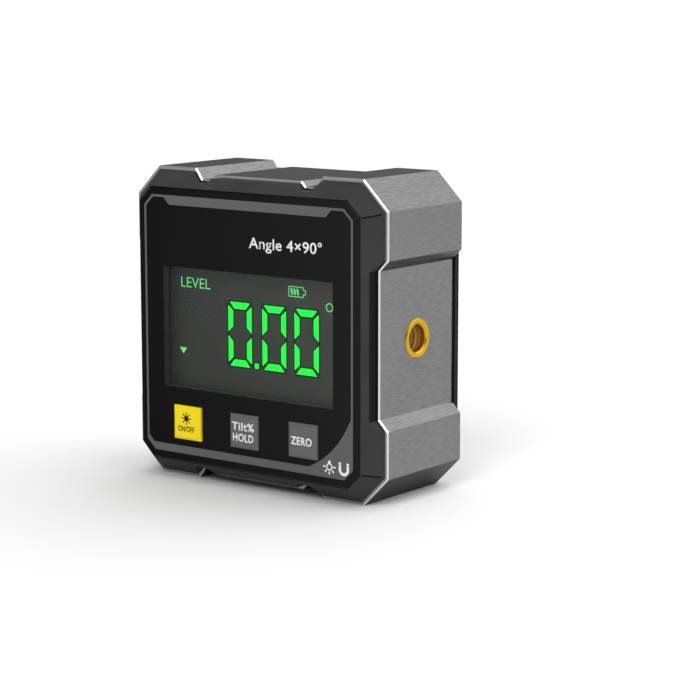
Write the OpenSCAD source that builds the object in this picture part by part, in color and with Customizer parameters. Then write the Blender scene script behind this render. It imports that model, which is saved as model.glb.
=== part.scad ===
// Digital angle gauge: an aluminium frame that closes round a display module,
// with a bevelled front bezel, three keys, a magnetic base, a threaded side
// insert and a battery bay behind a sliding door.
// X runs to the right, Y to the rear and Z up. The origin is under the middle.

/* [Frame] */
// Width of the frame
body_w = 60; // [59:0.5:70]
// Height of the frame
body_h = 60; // [59:0.5:70]
// Depth of the frame
frame_d = 23.5; // [22:0.5:32]
// Wall left between the deepest recess and the cavity
frame_wall = 2.6; // [2:0.1:2.9]
// Leg of the 45 degree cut at each corner
corner_cut = 5.55; // [4:0.05:7]
// Leg of the 45 degree cut at each corner of the cavity
cavity_cut = 2; // [0.5:0.1:2.5]
// Chamfer on the frame's front and rear edges
edge_break = 0.25; // [0.1:0.05:0.4]

/* [Feet and recesses] */
// Length of each foot on the top and bottom
foot_l = 9.35; // [8.5:0.05:11]
// Length of each foot on the two sides
side_foot_l = 8.9; // [8:0.05:11]
// Depth of the recess between the side feet
side_recess_d = 1.95; // [1:0.05:2.3]
// Depth of the recess between the top or bottom feet
top_recess_d = 1.1; // [0.6:0.05:1.5]
// Depth of the relief groove beside each top or bottom foot
groove_d = 2.1; // [1.7:0.05:2.4]
// Width of the relief groove's floor
groove_w = 2.4; // [1.5:0.05:3.2]
// Run of the groove's wall on the foot's side
groove_out_run = 1.5; // [0.8:0.05:2.2]
// Run of the groove's wall on the recess's side
groove_in_run = 0.9; // [0.5:0.05:1.5]

/* [Bezel and panel] */
// Height of the panel's face in front of the frame
panel_proud = 3.8; // [3.2:0.05:4.6]
// Frame edge left bare round the bezel
bezel_inset = 0.62; // [0.4:0.02:0.8]
// Width of the bezel's sloped band
band_w = 2.9; // [2.5:0.05:3.2]
// Leg of the 45 degree cut at each corner of the bezel's rim
rim_cut = 2.95; // [2.5:0.05:3.5]
// Flat lip between the band and the panel
lip_w = 0.1; // [0.05:0.05:0.3]
// Gap round the panel in its pocket
panel_fit = 0.06; // [0.03:0.01:0.12]
// Thickness of the panel
panel_t = 1.5; // [1.2:0.05:1.8]
// Width of the panel's bevelled edge
panel_bevel_w = 0.3; // [0.15:0.05:1.2]
// Depth of the panel's bevelled edge
panel_bevel_d = 0.3; // [0.15:0.05:0.9]
// Thickness of the shelf that the panel is bonded to
shelf_t = 1; // [0.8:0.05:1.4]
// Wall of the skirts that locate in the cavity
skirt_t = 1.4; // [1:0.1:1.7]
// Length of the skirts
skirt_l = 4; // [3:0.1:5]
// Gap between the skirts and the cavity
skirt_fit = 0.15; // [0.05:0.05:0.3]

/* [Display] */
// Edge of the display glass hidden round the window
window_margin = 1.6; // [1.2:0.05:2.5]
// Gap round the window lens
window_fit = 0.05; // [0.02:0.01:0.1]
// Width of the lens's rear flange
lens_lip = 0.8; // [0.5:0.05:1]
// Air gap between the lens and the display glass
lens_gap = 0.15; // [0.05:0.05:0.3]
// Gap between the holder and the skirt on each side
holder_side = 0.9; // [0.4:0.05:3]
// Gap between the holder and the rims of the keys
holder_low = 0.25; // [0.2:0.05:2]
// Gap between the holder and the board bosses
holder_high = 3.5; // [0.5:0.1:5]
// Thickness of each of the two glass sheets
glass_t = 0.9; // [0.7:0.05:1.1]
// Height of the bare contact ledge on the front glass
ledge_h = 2.3; // [2:0.1:2.8]
// Thickness of the light guide behind the glass
backlight_t = 2.2; // [1.8:0.1:2.6]
// Wall of the holder round the glass
holder_t = 0.9; // [0.6:0.05:1]
// Gap round the glass in its holder
glass_fit = 0.1; // [0.05:0.01:0.15]
// Width of the elastomer strip that joins glass and board
strip_w = 1.8; // [1.4:0.1:1.9]
// Distance of the strip's ends from the sides of the glass
strip_end = 2; // [0.5:0.1:4]

/* [Keys] */
// Width of a key
key_w = 6.6; // [5.8:0.1:7]
// Height of a key
key_h = 6.5; // [5.8:0.1:6.7]
// Distance of the outer keys from the line of the window's sides
key_side = 3.1; // [2.5:0.1:4]
// Middle of the row of keys, across
key_row_x = -0.3; // [-0.6:0.1:0.6]
// Middle of the row of keys above the lower skirt
key_low = 5.25; // [4.8:0.05:7]
// Height of a key in front of the panel
key_proud = 0.7; // [0.5:0.05:1]
// Travel of a key
key_travel = 0.4; // [0.2:0.05:0.5]
// Gap round a key
key_fit = 0.12; // [0.06:0.02:0.2]
// Width of the bevel round a key's face
key_bevel_w = 0.5; // [0.2:0.05:0.8]
// Depth of the bevel round a key's face
key_bevel_d = 0.3; // [0.1:0.05:0.45]
// Width of the rim that keeps a key behind the shelf
key_rim = 0.5; // [0.4:0.05:0.55]
// Thickness of that rim
key_rim_t = 0.8; // [0.6:0.05:1]
// Play between the rim and the shelf
key_play = 0.05; // [0.02:0.01:0.1]
// Side of a switch's square base
switch_w = 5.8; // [5:0.1:6]
// Height of a switch's base
switch_h = 2.1; // [1.8:0.1:2.2]
// Diameter of a switch's plunger
plunger_d = 3; // [2.4:0.1:3.4]
// Radial gap round a plunger
plunger_fit = 0.15; // [0.1:0.01:0.2]
// Length of the plunger inside its base
plunger_in = 0.6; // [0.4:0.05:0.7]

/* [Board] */
// Thickness of the circuit board
board_t = 1.2; // [1:0.1:1.6]
// Gap between the board and the skirt
board_fit = 0.5; // [0.3:0.05:0.8]
// Side of the processor
processor_w = 7; // [5:0.5:9]
// Height of the processor
processor_t = 0.9; // [0.7:0.1:1.4]
// Side of the tilt sensor
sensor_w = 5; // [3:0.5:6]
// Height of the tilt sensor
sensor_t = 1.5; // [1:0.1:2]
// Diameter of a board boss
boss_d = 4; // [3.4:0.1:4.4]
// Middle of the board bosses below the upper skirt
boss_high = 4.25; // [3:0.05:6]
// Half the distance between the board bosses
boss_x = 8; // [5:0.5:13]
// Diameter of the two pegs that locate the board between the keys
peg_d = 2.6; // [2.2:0.1:3]
// Diameter of a peg's pin in the board
pin_d = 1.6; // [1.2:0.1:2]
// Length of a pin behind the board
pin_out = 0.5; // [0.3:0.1:0.8]
// Diameter of a board screw's shank
board_screw_d = 1.6; // [1.4:0.1:2]
// Length of a board screw's shank
board_screw_l = 4.2; // [3:0.1:4.6]
// Diameter of a board screw's head
board_head_d = 3; // [2.6:0.1:3.4]
// Height of a board screw's head
board_head_t = 1; // [0.8:0.1:1.2]

/* [Battery bay] */
// Diameter of a cell
cell_d = 10.5; // [9.8:0.1:10.6]
// Diameter of a cell's cap
cell_cap_d = 3.8; // [3:0.1:4.2]
// Height of a cell's cap
cell_cap_h = 0.8; // [0.6:0.1:1]
// Gap beside each cell
cell_gap = 0.6; // [0.4:0.05:0.8]
// Gap between a cell and the door
cell_door_gap = 0.3; // [0.2:0.05:0.5]
// Wall of the bay
bay_t = 1; // [0.8:0.05:1.2]
// Gap between the bay's ends and the frame
bay_end_gap = 0.85; // [0.4:0.05:1.2]
// Thickness of the contact plates
contact_t = 0.3; // [0.2:0.05:0.4]
// Width of a contact plate
contact_w = 9; // [7:0.1:9.6]
// Width of a contact's solder tail
tail_w = 2; // [1.5:0.1:3]
// Height of a pressed contact spring
spring_h = 1.8; // [1.5:0.1:2]
// Diameter of the spring wire
wire_d = 0.5; // [0.4:0.05:0.6]
// Turns of a contact spring
spring_turns = 2.5; // [1.5:0.5:3]

/* [Rear cover and door] */
// Height of the cover behind the frame
rear_proud = 2; // [1.9:0.05:2.6]
// Distance of the cover's edge inside the frame's outline
rear_inset = 1.6; // [1.2:0.05:2]
// Chamfer round the cover's rear edge
rear_bevel = 0.8; // [0.3:0.05:1]
// Thickness of the door
door_t = 1.3; // [1.2:0.05:1.4]
// Width of the door's face past the bay on each side
door_margin = 1.6; // [1.2:0.05:2.4]
// Length of the door past the bay at its lower end
door_end = 1.2; // [0.6:0.05:1.6]
// Width of the tongues that run under the cover's lips
tongue_w = 0.8; // [0.5:0.05:1.2]
// Thickness of the tongues
tongue_t = 0.6; // [0.4:0.05:0.65]
// Gap beside the door
door_fit = 0.15; // [0.08:0.01:0.25]
// Gap over and under the tongues
tongue_fit = 0.1; // [0.05:0.01:0.12]
// Length of the finger grooves in the door
grip_l = 13; // [8:0.5:16]
// Distance between the finger grooves
grip_pitch = 1.8; // [1.5:0.1:2.4]
// Number of finger grooves
grip_n = 6; // [3:1:8]
// Lowest finger groove below the middle of the door
grip_low = 14; // [10:0.5:18]
// Depth of the finger grooves
grip_d = 0.4; // [0.2:0.05:0.5]

/* [Case screws] */
// Distance of the posts from the sides of the cavity
post_edge = 3.95; // [3.8:0.05:4.2]
// Diameter of the bezel's long posts
post_d = 5.6; // [5:0.1:5.8]
// Length of the bosses on the cover that meet the posts
cover_boss_l = 2; // [1.5:0.1:3]
// Diameter of a case screw's shank
screw_d = 2; // [1.8:0.1:2.4]
// Length of a case screw's shank
screw_l = 9; // [7:0.5:11]
// Diameter of a case screw's head
head_d = 3.8; // [3.2:0.1:4.2]
// Height of a case screw's head
head_t = 1.2; // [1:0.05:1.3]
// Depth of the head below the cover's face
head_sunk = 0.2; // [0.1:0.05:0.4]
// Gap round a screw's head
head_fit = 0.2; // [0.1:0.05:0.3]
// Width of a screw's cross slots
slot_w = 0.5; // [0.4:0.05:0.6]
// Depth of a screw's cross slots
slot_d = 0.6; // [0.4:0.05:0.7]
// Radial gap of a screw in its hole
screw_fit = 0.03; // [0.02:0.01:0.06]

/* [Side insert] */
// Outer diameter of the threaded insert
insert_d = 7.5; // [7:0.1:9]
// Diameter of the insert's bore, at the crests of its thread
insert_bore = 5.1; // [4.2:0.05:5.6]
// Length of the insert
insert_l = 6; // [5:0.1:7]
// Height of the insert's rim above the recess
insert_proud = 0.25; // [0.1:0.05:0.5]
// Floor of the insert's blind bore
insert_floor = 0.6; // [0.4:0.1:1]
// Chamfer at the mouth of the bore
insert_lead = 0.35; // [0.2:0.05:0.6]
// Round of the rim's outer edge, as a chamfer
insert_rim = 0.2; // [0.1:0.05:0.3]
// Radial gap between insert and frame
insert_fit = 0.02; // [0.01:0.01:0.05]

/* [Base magnets] */
// Diameter of a magnet
magnet_d = 7; // [5:0.1:8]
// Thickness of a magnet
magnet_t = 2.4; // [1.5:0.1:2.8]
// Distance between the two magnets of a foot
magnet_pitch = 13; // [10:0.1:14]
// Depth of a magnet below the foot
magnet_sunk = 0.1; // [0.05:0.05:0.3]
// Radial gap round a magnet
magnet_fit = 0.05; // [0.02:0.01:0.1]

/* [Hidden] */
$fn = 64;
eps = 0.5;
key_names = ["power", "hold", "zero"];
key_colours = ["gold", "dimgray", "dimgray"];
key_count = len(key_names);
magnet_count = 4;
cell_count = 2;

half_w = body_w / 2;
half_h = body_h / 2;
mid_z = half_h;

// Levels along the depth, from the faces of the keys to the rear
total_d = key_proud + panel_proud + frame_d + rear_proud;
y_key = -total_d / 2;
y_panel = y_key + key_proud;
y_frame = y_panel + panel_proud;
y_rear = y_frame + frame_d;
y_back = y_rear + rear_proud;
y_mid = (y_frame + y_rear) / 2;
y_rim = y_panel + panel_bevel_d;
y_shelf = y_panel + panel_t;
y_inside = y_shelf + shelf_t;
y_board = y_inside + 2 * glass_t + backlight_t;
y_board_rear = y_board + board_t;
y_post = y_rear - cover_boss_l;
y_head = y_back - head_sunk - head_t;
y_door = y_back - door_t;
y_cell = y_door - cell_door_gap - cell_d / 2;
y_bay = y_cell - cell_d / 2 - cell_gap / 2;

// Frame
cavity_w = body_w - 2 * (side_recess_d + frame_wall);
cavity_h = body_h - 2 * (groove_d + frame_wall);
foot_x = half_w - corner_cut - foot_l / 2;

inner_w = cavity_w - 2 * (skirt_fit + skirt_t);
inner_h = cavity_h - 2 * (skirt_fit + skirt_t);

// Display, which fills the room between the keys and the board bosses
key_z = mid_z - inner_h / 2 + key_low;
boss_z = mid_z + inner_h / 2 - boss_high;
holder_z0 = key_z + key_h / 2 + key_rim + holder_low;
holder_z1 = boss_z - boss_d / 2 - holder_high;
holder_w = inner_w - 2 * holder_side;
holder_h = holder_z1 - holder_z0;
lcd_w = holder_w - 2 * (holder_t + glass_fit);
lcd_h = holder_h - 2 * (holder_t + glass_fit);
rear_glass_h = lcd_h - ledge_h;
strip_l = lcd_w - 2 * strip_end;
window_z = (holder_z0 + holder_z1) / 2;
window_w = lcd_w - 2 * window_margin;
window_h = lcd_h - 2 * window_margin;
shelf_open_w = window_w + 2 * (lens_lip + window_fit);
shelf_open_h = window_h + 2 * (lens_lip + window_fit);
y_lens = y_inside - lens_gap;

// Keys
key_pitch = (window_w - 2 * key_side - key_w) / (key_count - 1);
key_x = [for (i = [0:key_count - 1]) key_row_x + (i - (key_count - 1) / 2) * key_pitch];
y_key_rim = y_inside + key_play;
y_key_end = y_key_rim + key_rim_t;
y_switch = y_board - switch_h;
y_plunger_end = y_switch + plunger_in;
plunger_room = 0.2;

// Posts, bosses and board
post_x = cavity_w / 2 - post_edge;
post_z = cavity_h / 2 - post_edge;
board_w = inner_w - 2 * board_fit;
board_h = inner_h - 2 * board_fit;
board_cut = board_w / 2 - post_x + board_h / 2 - post_z + (post_d / 2 + board_fit) * sqrt(2);
boss_places = [for (s = [-1, 1]) [s * boss_x, boss_z]];
peg_places = [for (i = [1:key_count - 1]) [(key_x[i - 1] + key_x[i]) / 2, key_z]];
pilot_room = 1;

// Battery bay
cell_x = (cell_d + cell_gap) / 2;
bay_w = cell_count * cell_d + (cell_count + 1) * cell_gap;
bay_l = cavity_h - 2 * (bay_end_gap + bay_t);
cell_l = bay_l - spring_h - 2 * contact_t;
bay_z0 = mid_z - bay_l / 2;
bay_z1 = mid_z + bay_l / 2;
contact_d = cell_d - 1;
spring_r0 = contact_w / 2 - wire_d;
spring_r1 = 2;

// Door
door_w = bay_w + 2 * door_margin;
door_z0 = bay_z0 - bay_t - door_end;
grip_z0 = mid_z - grip_low;

// Outlines are lists of [x, z] that run clockwise as seen from the front
function octagon(w, h, cut) = [
    [cut - w / 2, mid_z + h / 2], [w / 2 - cut, mid_z + h / 2],
    [w / 2, mid_z + h / 2 - cut], [w / 2, mid_z - h / 2 + cut],
    [w / 2 - cut, mid_z - h / 2], [cut - w / 2, mid_z - h / 2],
    [-w / 2, mid_z - h / 2 + cut], [-w / 2, mid_z + h / 2 - cut]];

function box_outline(x, z, w, h) = [
    [x - w / 2, z + h / 2], [x + w / 2, z + h / 2],
    [x + w / 2, z - h / 2], [x - w / 2, z - h / 2]];

function unit(v) = v / norm(v);
function inward(a, b) = let (u = unit(b - a)) [u.y, -u.x];

// Outline moved inward by d, with its corners kept sharp
function inset(line, d) = let (n = len(line)) [
    for (i = [0:n - 1])
        let (a = inward(line[(i + n - 1) % n], line[i]), b = inward(line[i], line[(i + 1) % n]))
        line[i] + d * (a + b) / (1 + a * b)];

function middle(line) = [for (p = line) 1] * line / len(line);

function reversed(line) = [for (i = [len(line) - 1:-1:0]) line[i]];

// One quarter of the frame's outline, from the top recess round to the side recess
groove_x = half_w - corner_cut - foot_l;
side_z = half_h - corner_cut - side_foot_l;
quarter = [
    [groove_x - groove_out_run - groove_w - groove_in_run, half_h - top_recess_d],
    [groove_x - groove_out_run - groove_w, half_h - groove_d],
    [groove_x - groove_out_run, half_h - groove_d],
    [groove_x, half_h],
    [half_w - corner_cut, half_h],
    [half_w, half_h - corner_cut],
    [half_w, side_z],
    [half_w - side_recess_d, side_z - side_recess_d]];
right_half = concat(quarter, [for (p = reversed(quarter)) [p.x, -p.y]]);
frame_outline = [
    for (p = concat(right_half, [for (p = reversed(right_half)) [-p.x, p.y]])) [p.x, p.y + mid_z]];
body_octagon = octagon(body_w, body_h, corner_cut);
rim_inset = bezel_inset + band_w;
rim_outline = octagon(body_w - 2 * rim_inset, body_h - 2 * rim_inset, rim_cut);
cavity_outline = octagon(cavity_w, cavity_h, cavity_cut);

// An outline drawn out straight along the depth
module slab(line, y0, y1) {
    translate([0, y1, 0]) rotate([90, 0, 0]) linear_extrude(y1 - y0) polygon(line);
}

// A skin through outlines of equal length, each at its own depth, closed by
// fans from the middle of the first and the last one
module loft(lines, ys) {
    n = len(lines[0]);
    last = len(ys) - 1;
    points = [for (r = [0:last]) for (p = lines[r]) [p.x, ys[r], p.y]];
    front_c = middle(lines[0]);
    rear_c = middle(lines[last]);
    hubs = [[front_c.x, ys[0], front_c.y], [rear_c.x, ys[last], rear_c.y]];
    hub = len(points);
    faces = [
        for (i = [0:n - 1]) let (j = (i + 1) % n) each concat(
            [[hub, i, j], [hub + 1, last * n + j, last * n + i]],
            [for (r = [0:last - 1]) [r * n + i, (r + 1) * n + i, (r + 1) * n + j]],
            [for (r = [0:last - 1]) [r * n + i, (r + 1) * n + j, r * n + j]])];
    polyhedron(concat(points, hubs), faces);
}

// A round bar along the depth
module rod(x, z, d, y0, y1) {
    translate([x, y1, z]) rotate([90, 0, 0]) cylinder(d = d, h = y1 - y0);
}

// A box given by its middle across and its two depths
module block(x, z, w, h, y0, y1) {
    translate([x - w / 2, y0, z - h / 2]) cube([w, y1 - y0, h]);
}

module at_posts() {
    for (sx = [-1, 1]) for (sz = [-1, 1]) translate([sx * post_x, 0, mid_z + sz * post_z]) children();
}

module frame() {
    chamfered = inset(frame_outline, edge_break);
    color("darkgray") difference() {
        union() {
            loft([chamfered, frame_outline], [y_frame, y_frame + edge_break]);
            slab(frame_outline, y_frame + edge_break, y_rear - edge_break);
            loft([frame_outline, chamfered], [y_rear - edge_break, y_rear]);
        }
        slab(cavity_outline, y_frame - eps, y_rear + eps);
        translate([half_w - side_recess_d - frame_wall - eps, y_mid, mid_z]) rotate([0, 90, 0])
            cylinder(d = insert_d + 2 * insert_fit, h = frame_wall + 2 * eps);
        for (i = [1:magnet_count]) at_magnet(i)
            translate([0, 0, -eps]) cylinder(d = magnet_d + 2 * magnet_fit, h = magnet_t + magnet_sunk + eps);
    }
}

// Brass insert, turned about its own axis, with a blind bore for a thread
module side_insert() {
    r = insert_d / 2;
    b = insert_bore / 2;
    color("goldenrod") translate([half_w - side_recess_d + insert_proud, y_mid, mid_z]) rotate([0, -90, 0])
        rotate_extrude() polygon([
            [b + insert_lead, 0], [r - insert_rim, 0], [r, insert_rim], [r, insert_l], [0, insert_l],
            [0, insert_l - insert_floor], [b, insert_l - insert_floor], [b, insert_lead]]);
}

module at_magnet(i) {
    side = i % 2 == 1 ? -1 : 1;
    row = i <= 2 ? -1 : 1;
    translate([side * foot_x, y_mid + row * magnet_pitch / 2, 0]) children();
}

module base_magnet(i) {
    color("silver") at_magnet(i) translate([0, 0, magnet_sunk]) cylinder(d = magnet_d, h = magnet_t);
}

// Bezel: sloped band, panel pocket, shelf, skirt, long posts and board bosses
module front_bezel() {
    color("#3a3a3c") difference() {
        union() {
            intersection() {
                slab(inset(frame_outline, bezel_inset), y_rim, y_frame);
                loft([rim_outline, inset(body_octagon, bezel_inset)], [y_rim, y_frame]);
            }
            difference() {
                slab(inset(cavity_outline, skirt_fit), y_frame - eps, y_frame + skirt_l);
                slab(inset(cavity_outline, skirt_fit + skirt_t), y_inside, y_frame + skirt_l + eps);
            }
        }
        slab(inset(rim_outline, lip_w), y_rim - eps, y_shelf);
        block(0, window_z, shelf_open_w, shelf_open_h, y_shelf - eps, y_inside + eps);
        for (x = key_x) block(x, key_z, key_w + 2 * key_fit, key_h + 2 * key_fit, y_shelf - eps, y_inside + eps);
        slab(inset(cavity_outline, skirt_fit + skirt_t), y_inside, y_frame + eps);
    }
    color("#3a3a3c") difference() {
        union() {
            at_posts() rod(0, 0, post_d, y_inside, y_post);
            for (p = boss_places) rod(p.x, p.y, boss_d, y_inside, y_board);
            for (p = peg_places) rod(p.x, p.y, peg_d, y_inside, y_board);
            for (p = peg_places) rod(p.x, p.y, pin_d, y_inside, y_board_rear + pin_out);
        }
        at_posts() rod(0, 0, screw_d + 2 * screw_fit, y_head - screw_l - pilot_room, y_post + eps);
        for (p = boss_places)
            rod(p.x, p.y, board_screw_d + 2 * screw_fit, y_board_rear - board_screw_l - pilot_room / 2, y_board + eps);
    }
}

// Glossy panel with a bevelled edge, a window and three key openings
module front_panel() {
    edge = inset(rim_outline, lip_w + panel_fit);
    face = inset(edge, panel_bevel_w);
    color("#141416") difference() {
        loft([face, edge, edge], [y_panel, y_panel + panel_bevel_d, y_shelf]);
        block(0, window_z, window_w, window_h, y_panel - eps, y_shelf + eps);
        for (x = key_x) block(x, key_z, key_w + 2 * key_fit, key_h + 2 * key_fit, y_panel - eps, y_shelf + eps);
    }
}

// Stepped lens: its face fills the panel's window, its flange sits in the shelf
module display_window() {
    color("#4c5250") union() {
        block(0, window_z, window_w - 2 * window_fit, window_h - 2 * window_fit, y_panel, y_lens);
        block(0, window_z, window_w + 2 * lens_lip, window_h + 2 * lens_lip, y_shelf, y_lens);
    }
}

// Two glass sheets; the front one stands past the rear one as a contact ledge
module lcd_glass() {
    color("#3c3f3d") union() {
        block(0, window_z, lcd_w, lcd_h, y_inside, y_inside + glass_t);
        block(0, window_z - ledge_h / 2, lcd_w, rear_glass_h, y_inside, y_inside + 2 * glass_t);
    }
}

module lcd_backlight() {
    color("honeydew") block(0, window_z - ledge_h / 2, lcd_w, rear_glass_h, y_inside + 2 * glass_t, y_board);
}

module lcd_strip() {
    color("lightpink") block(0, window_z + (lcd_h - ledge_h) / 2, strip_l, strip_w, y_inside + glass_t, y_board);
}

module display_holder() {
    color("whitesmoke") difference() {
        block(0, window_z, holder_w, holder_h, y_inside, y_board);
        block(0, window_z, lcd_w + 2 * glass_fit, lcd_h + 2 * glass_fit, y_inside - eps, y_board + eps);
    }
}

// Key with a bevelled face, kept behind the shelf by a rim
module key_button(i) {
    edge = box_outline(key_x[i], key_z, key_w, key_h);
    color(key_colours[i]) union() {
        loft([inset(edge, key_bevel_w), edge, edge], [y_key, y_key + key_bevel_d, y_key_end]);
        block(key_x[i], key_z, key_w + 2 * key_rim, key_h + 2 * key_rim, y_key_rim, y_key_end);
    }
}

module key_plunger(i) {
    color("ivory") rod(key_x[i], key_z, plunger_d, y_key_end, y_plunger_end);
}

module key_switch(i) {
    color("black") difference() {
        block(key_x[i], key_z, switch_w, switch_w, y_switch, y_board);
        rod(key_x[i], key_z, plunger_d + 2 * plunger_fit, y_switch - eps, y_plunger_end + key_travel + plunger_room);
    }
}

module main_board() {
    color("darkgreen") difference() {
        slab(octagon(board_w, board_h, board_cut), y_board, y_board_rear);
        for (p = boss_places) rod(p.x, p.y, board_screw_d + 4 * screw_fit, y_board - eps, y_board_rear + eps);
        for (p = peg_places) rod(p.x, p.y, pin_d + 4 * screw_fit, y_board - eps, y_board_rear + eps);
    }
}

module processor() {
    color("#202020") block(0, mid_z + processor_w, processor_w, processor_w, y_board_rear, y_board_rear + processor_t);
}

module tilt_sensor() {
    color("#303030") block(0, mid_z - sensor_w, sensor_w, sensor_w, y_board_rear, y_board_rear + sensor_t);
}

// Pan-head screw that points forward, with a cross in its head
module screw(d, l, hd, ht, y) {
    difference() {
        union() {
            rod(0, 0, d, y - l, y);
            rod(0, 0, hd, y, y + ht);
        }
        for (a = [0, 90]) rotate([0, a, 0]) block(0, 0, hd * 0.6, slot_w, y + ht - slot_d, y + ht + eps);
    }
}

module board_screws() {
    color("silver") for (p = boss_places) translate([p.x, 0, p.y])
        screw(board_screw_d, board_screw_l, board_head_d, board_head_t, y_board_rear);
}

module rear_screws() {
    color("dimgray") at_posts() screw(screw_d, screw_l, head_d, head_t, y_head);
}

// The cover's outer form, shared by the cover and its door
module cover_form() {
    edge = inset(body_octagon, rear_inset);
    loft([edge, edge, inset(edge, rear_bevel)], [y_rear, y_back - rear_bevel, y_back]);
}

// Cover: plate, skirt, screw bosses and the battery bay, with the door's track cut in
module rear_cover() {
    track_h = body_h - door_z0;
    color("#1c1c1e") difference() {
        union() {
            cover_form();
            difference() {
                slab(inset(cavity_outline, skirt_fit), y_rear - skirt_l, y_rear + eps);
                slab(inset(cavity_outline, skirt_fit + skirt_t), y_rear - skirt_l - eps, y_rear);
            }
            block(0, mid_z, bay_w + 2 * bay_t, bay_l + 2 * bay_t, y_bay - bay_t, y_rear + eps);
            at_posts() rod(0, 0, post_d, y_post, y_rear + eps);
        }
        block(0, mid_z, bay_w, bay_l, y_bay, y_back + eps);
        block(0, door_z0 + track_h / 2 - door_fit, door_w + 2 * door_fit, track_h,
            y_door - tongue_fit, y_back + eps);
        block(0, door_z0 + track_h / 2 - door_fit, door_w + 2 * (tongue_w + door_fit), track_h,
            y_door - tongue_fit, y_door + tongue_t + tongue_fit);
        at_posts() rod(0, 0, post_d + 2 * skirt_fit, y_rear - skirt_l - eps, y_post);
        at_posts() rod(0, 0, screw_d + 4 * screw_fit, y_post - eps, y_back + eps);
        at_posts() rod(0, 0, head_d + 2 * head_fit, y_head, y_back + eps);
        for (s = [-1, 1])
            block(s * cell_x, bay_z0 + contact_t / 2, tail_w + 2 * door_fit, contact_t + 2 * tongue_fit,
                y_bay - bay_t - eps, y_bay + eps);
    }
}

// Door: a plate whose side tongues run in the track, with finger grooves
module battery_door() {
    door_l = body_h - door_z0;
    color("#232326") difference() {
        intersection() {
            cover_form();
            union() {
                block(0, door_z0 + door_l / 2, door_w, door_l, y_door, y_back + eps);
                block(0, door_z0 + door_l / 2, door_w + 2 * tongue_w, door_l, y_door, y_door + tongue_t);
            }
        }
        for (i = [0:grip_n - 1]) translate([0, y_back, grip_z0 + i * grip_pitch]) rotate([45, 0, 0])
            cube([grip_l, grip_d * sqrt(2), grip_d * sqrt(2)], center = true);
    }
}

// Cell turned about its axis; the second one stands on its cap
module battery_cell(i) {
    r = cell_d / 2;
    c = cell_cap_d / 2;
    top = cell_l - cell_cap_h;
    round_r = 0.4;
    x = i == 1 ? -cell_x : cell_x;
    z = i == 1 ? bay_z0 + contact_t + spring_h : bay_z0 + contact_t + cell_l;
    color("steelblue") translate([x, y_cell, z]) mirror([0, 0, i - 1]) rotate_extrude() polygon([
        [0, 0], [r - round_r, 0], [r, round_r], [r, top - round_r], [r - round_r, top],
        [c, top], [c, cell_l], [0, cell_l]]);
}

// Cone-shaped coil that stands on z = 0 and is round in section
module coil(h, r0, r1, wire, turns) {
    ring_n = 8;
    step_n = turns * 16;
    points = [
        for (s = [0:step_n]) let (t = s / step_n, a = 360 * turns * t, r = r0 + (r1 - r0) * t)
            for (k = [0:ring_n - 1])
                let (b = 360 * k / ring_n, q = r + wire / 2 * cos(b))
                [q * cos(a), q * sin(a), wire / 2 + (h - wire) * t + wire / 2 * sin(b)]];
    sides = [
        for (s = [0:step_n - 1]) for (k = [0:ring_n - 1])
            let (j = (k + 1) % ring_n, o = s * ring_n)
            [o + k, o + j, o + ring_n + j, o + ring_n + k]];
    start = [for (k = [ring_n - 1:-1:0]) k];
    end = [for (k = [0:ring_n - 1]) step_n * ring_n + k];
    polyhedron(points, concat([start], sides, [end]));
}

// Plate at one end of the bay, standing against its wall
module contact_plate(x, w, z) {
    block(x, z + contact_t / 2, w, contact_t, y_cell - contact_d / 2, y_cell + contact_d / 2);
}

// Tail that leads a plate forward through the bay's floor to the board
module contact_tail(x) {
    block(x, bay_z0 + contact_t / 2, tail_w, contact_t, y_board_rear, y_cell);
}

module contact_negative() {
    color("silver") {
        union() {
            contact_plate(-cell_x, contact_w, bay_z0);
            contact_tail(-cell_x);
        }
        translate([-cell_x, y_cell, bay_z0 + contact_t]) coil(spring_h, spring_r0, spring_r1, wire_d, spring_turns);
    }
}

module contact_positive() {
    color("silver") union() {
        contact_plate(cell_x, contact_w, bay_z0);
        contact_tail(cell_x);
    }
}

module contact_bridge() {
    color("silver") {
        contact_plate(0, 2 * cell_x + contact_w, bay_z1 - contact_t);
        translate([cell_x, y_cell, bay_z1 - contact_t]) mirror([0, 0, 1])
            coil(spring_h, spring_r0, spring_r1, wire_d, spring_turns);
    }
}

frame();
side_insert();
for (i = [1:magnet_count])
    base_magnet(i);
front_bezel();
front_panel();
display_window();
lcd_glass();
lcd_backlight();
lcd_strip();
display_holder();
for (i = [0:key_count - 1]) {
    key_button(i);
    key_plunger(i);
    key_switch(i);
}
main_board();
processor();
tilt_sensor();
board_screws();
rear_cover();
rear_screws();
battery_door();
for (i = [1:cell_count])
    battery_cell(i);
contact_negative();
contact_positive();
contact_bridge();
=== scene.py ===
"""Looks of the digital angle gauge: materials, printed panel, display signs and key legends."""

import math

import bmesh
import bpy
from mathutils import Matrix, Vector


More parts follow.
